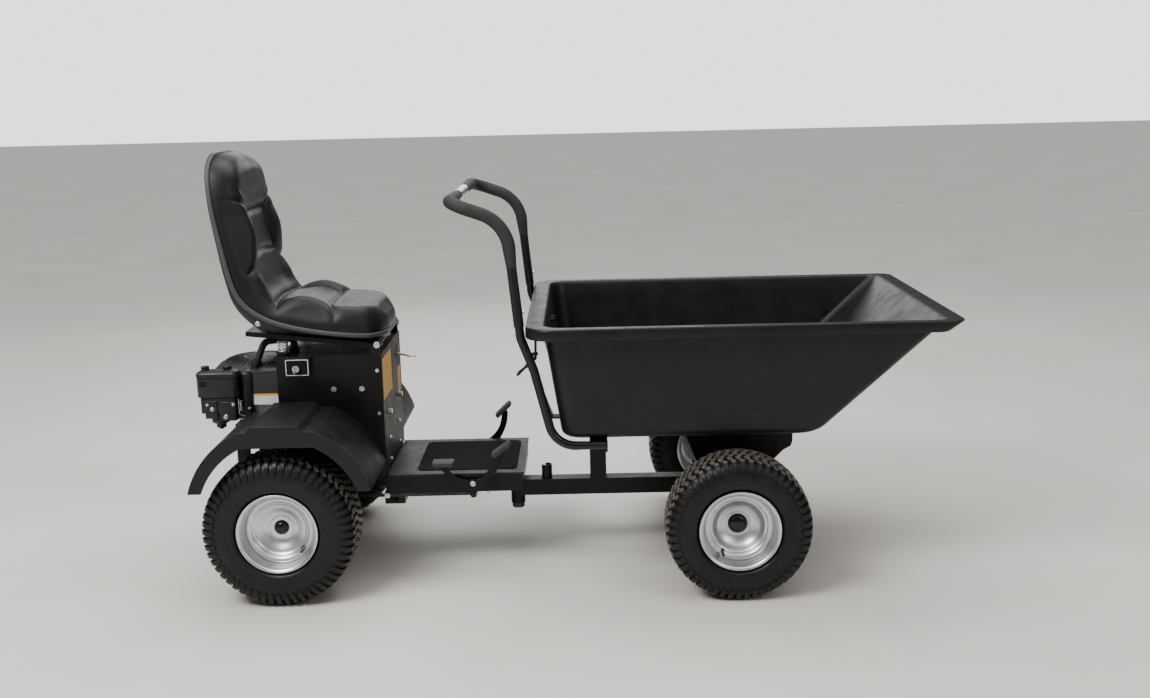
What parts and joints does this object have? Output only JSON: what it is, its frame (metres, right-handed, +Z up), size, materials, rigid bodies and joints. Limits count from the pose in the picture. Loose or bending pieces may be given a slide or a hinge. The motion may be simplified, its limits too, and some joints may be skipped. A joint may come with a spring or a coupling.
{
  "type": "power wheelbarrow",
  "caption": "Ride-on power barrow: padded seat over a rear engine unit, articulated at a kingpin to a wheeled front frame with a handlebar and a forward-tipping tub.",
  "frame": {"origin": "middle of the machine at ground level, under the centre of its bounding box", "axes": "+X towards the front of the tub, +Y to the rider's left, +Z up"},
  "size_m": [2.162, 0.995, 1.2519],
  "materials": {
    "frame_paint": "satin",
    "body_paint": "semi-gloss",
    "deck_paint": "satin",
    "grit_mat": "coarse grit",
    "zinc_bolts": "zinc plated",
    "machined_steel": "machined",
    "cast_alloy": "cast",
    "engine_plastic": "matte",
    "exhaust_steel": "heat-stained matte",
    "hose_rubber": "matte",
    "tank_plastic": "translucent",
    "handle_paint": "gloss",
    "handle_chrome": "polished",
    "grip_foam": "matte foam",
    "tub_plastic": "satin",
    "shell_plastic": "grained",
    "seat_vinyl": "soft vinyl",
    "tyre_rubber": "matte",
    "rim_zinc": "bright zinc",
    "cap_plastic": "gloss"
  },
  "bodies": {
    "chassis": {"chassis_frame": "frame_paint", "kingpin": "machined_steel", "footplate": "deck_paint", "foot_mat": "grit_mat", "seat_box": "body_paint", "front_panel": "body_paint", "body_bolts": "zinc_bolts", "fender_right": "body_paint", "fender_left": "body_paint", "engine_block": "cast_alloy", "blower_housing": "engine_plastic", "air_filter_cover": "engine_plastic", "carburettor": "engine_plastic", "muffler": "exhaust_steel", "breather_hose": "hose_rubber", "transaxle": "cast_alloy", "fuel_tank": "tank_plastic", "seat_springs": "zinc_bolts", "control_console": "engine_plastic", "drive_belt": "hose_rubber"},
    "engine_rotor": {"crankshaft": "machined_steel", "engine_pulley": "machined_steel"},
    "gearbox_input": {"input_pulley": "machined_steel"},
    "front_frame": {"main_beam": "frame_paint", "front_axle": "frame_paint", "hinge_plates": "frame_paint", "tub_hinge_pin": "machined_steel", "lower_handle_tubes": "handle_paint", "upper_handle_tube": "handle_chrome", "handle_grips": "grip_foam", "handle_bolts": "zinc_bolts"},
    "tub": {"tub": "tub_plastic", "tub_cradle": "frame_paint", "latch_strap": "frame_paint"},
    "latch": {"latch_lever": "frame_paint"},
    "seat": {"seat_plate": "frame_paint", "seat_shell": "shell_plastic", "seat_cushion": "seat_vinyl"},
    "drive_pedal": {"drive_pedal": "frame_paint"},
    "control_rod": {"control_rod": "machined_steel"},
    "control_arm": {"control_arm": "machined_steel"},
    "brake_pedal": {"brake_pedal": "frame_paint"},
    "throttle": {"throttle_lever": "machined_steel"},
    "key": {"ignition_key": "zinc_bolts"},
    "front_wheel_right": {"front_tyre_right": "tyre_rubber", "front_rim_right": "rim_zinc", "front_bearings_right": "machined_steel", "front_hub_cap_right": "cap_plastic"},
    "front_wheel_left": {"front_tyre_left": "tyre_rubber", "front_rim_left": "rim_zinc", "front_bearings_left": "machined_steel", "front_hub_cap_left": "cap_plastic"},
    "rear_wheel_right": {"rear_tyre_right": "tyre_rubber", "rear_rim_right": "rim_zinc", "rear_axle_shaft_right": "machined_steel", "rear_hub_cap_right": "cap_plastic"},
    "rear_wheel_left": {"rear_tyre_left": "tyre_rubber", "rear_rim_left": "rim_zinc", "rear_axle_shaft_left": "machined_steel", "rear_hub_cap_left": "cap_plastic"}
  },
  "joints": [
    {"name": "steer", "type": "hinge", "parent": "chassis", "child": "front_frame", "pos_m": [-0.164, 0, 0.2], "axis": [0, 0, 1], "range_deg": [-35, 35]},
    {"name": "tub_tip", "type": "hinge", "parent": "front_frame", "child": "tub", "pos_m": [0.634, 0, 0.412], "axis": [0, 1, 0], "range_deg": [0, 70]},
    {"name": "latch_release", "type": "hinge", "parent": "front_frame", "child": "latch", "pos_m": [-0.112, 0, 0.586], "axis": [0, 1, 0], "range_deg": [-26, 0], "stiffness_Nm_per_rad": 0.4, "springref_deg": 20.05},
    {"name": "seat_tilt", "type": "hinge", "parent": "chassis", "child": "seat", "pos_m": [-0.548, 0, 0.692], "axis": [0, 1, 0], "range_deg": [0, 45]},
    {"name": "drive_pedal_rock", "type": "hinge", "parent": "chassis", "child": "drive_pedal", "pos_m": [-0.285, -0.207, 0.272], "axis": [0, 1, 0], "range_deg": [-10, 10], "stiffness_Nm_per_rad": 8},
    {"name": "control_rod_pivot", "type": "hinge", "parent": "drive_pedal", "child": "control_rod", "pos_m": [-0.285, -0.207, 0.236], "axis": [0, 1, 0], "range_deg": [-10, 10]},
    {"name": "control_arm_turn", "type": "hinge", "parent": "chassis", "child": "control_arm", "pos_m": [-0.7305, -0.19, 0.272], "axis": [0, 1, 0], "range_deg": [-10, 10]},
    {"name": "brake_pedal_press", "type": "hinge", "parent": "chassis", "child": "brake_pedal", "pos_m": [-0.285, 0.204, 0.272], "axis": [0, 1, 0], "range_deg": [0, 20], "stiffness_Nm_per_rad": 6, "springref_deg": -6.88},
    {"name": "throttle_turn", "type": "hinge", "parent": "chassis", "child": "throttle", "pos_m": [-0.577, 0.1205, 0.61], "axis": [0, 1, 0], "range_deg": [-22, 0]},
    {"name": "key_turn", "type": "hinge", "parent": "chassis", "child": "key", "pos_m": [-0.78, -0.23, 0.632], "axis": [0, -1, 0], "range_deg": [0, 60]},
    {"name": "crankshaft_spin", "type": "hinge", "parent": "chassis", "child": "engine_rotor", "pos_m": [-0.935, 0, 0.372], "axis": [0, 0, 1], "continuous": true},
    {"name": "gearbox_input_spin", "type": "hinge", "parent": "chassis", "child": "gearbox_input", "pos_m": [-0.7635, 0, 0.372], "axis": [0, 0, 1], "continuous": true},
    {"name": "front_wheel_right_spin", "type": "hinge", "parent": "front_frame", "child": "front_wheel_right", "pos_m": [0.469, -0.415, 0.204], "axis": [0, 1, 0], "continuous": true},
    {"name": "front_wheel_left_spin", "type": "hinge", "parent": "front_frame", "child": "front_wheel_left", "pos_m": [0.469, 0.415, 0.204], "axis": [0, 1, 0], "continuous": true},
    {"name": "rear_wheel_right_spin", "type": "hinge", "parent": "chassis", "child": "rear_wheel_right", "pos_m": [-0.8085, -0.381, 0.2164], "axis": [0, 1, 0], "continuous": true},
    {"name": "rear_wheel_left_spin", "type": "hinge", "parent": "chassis", "child": "rear_wheel_left", "pos_m": [-0.8085, 0.381, 0.2164], "axis": [0, 1, 0], "continuous": true}
  ],
  "couplings": [
    {"joint": "gearbox_input_spin", "follows": "crankshaft_spin", "ratio": 0.58621},
    {"joint": "control_rod_pivot", "follows": "drive_pedal_rock", "ratio": -1},
    {"joint": "control_arm_turn", "follows": "drive_pedal_rock", "ratio": 1}
  ]
}
